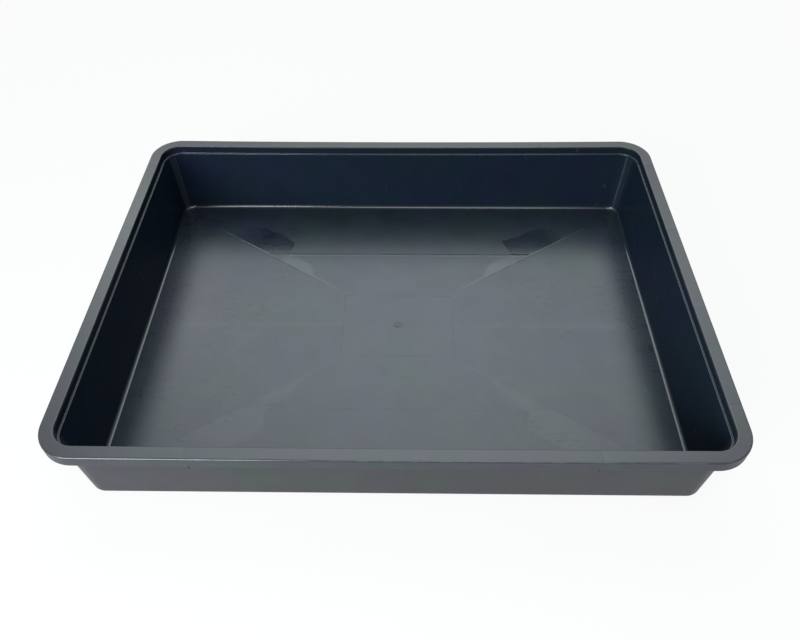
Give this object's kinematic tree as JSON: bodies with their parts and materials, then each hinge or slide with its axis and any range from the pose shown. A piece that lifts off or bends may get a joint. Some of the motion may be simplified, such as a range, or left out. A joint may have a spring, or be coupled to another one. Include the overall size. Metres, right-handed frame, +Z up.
{
  "type": "plant carry tray",
  "caption": "Open rectangular tray with sloping walls, an inner ledge, a flat out-turned rim and a hanging skirt to lift it by.",
  "frame": {"origin": "on the ground under the middle of the tray", "axes": "+X along the long side, +Y along the short side, +Z up out of the open top"},
  "size_m": [0.56, 0.42, 0.085],
  "materials": {
    "floor": "satin moulded plastic, dark charcoal grey, with faint flow marks and fine scuffs",
    "walls": "smooth moulded plastic, dark blue-grey, soft gloss",
    "ledge": "smooth moulded plastic, dark blue-grey, soft gloss",
    "rim": "matte moulded plastic with a fine grain, charcoal grey, lightly scuffed",
    "skirt": "matte moulded plastic, charcoal grey"
  },
  "bodies": {
    "root": {"floor_panel": "floor", "side_walls": "walls", "ledge_band": "ledge", "rim_flange": "rim", "edge_skirt": "skirt", "rim_ribs": "skirt"}
  },
  "joints": []
}
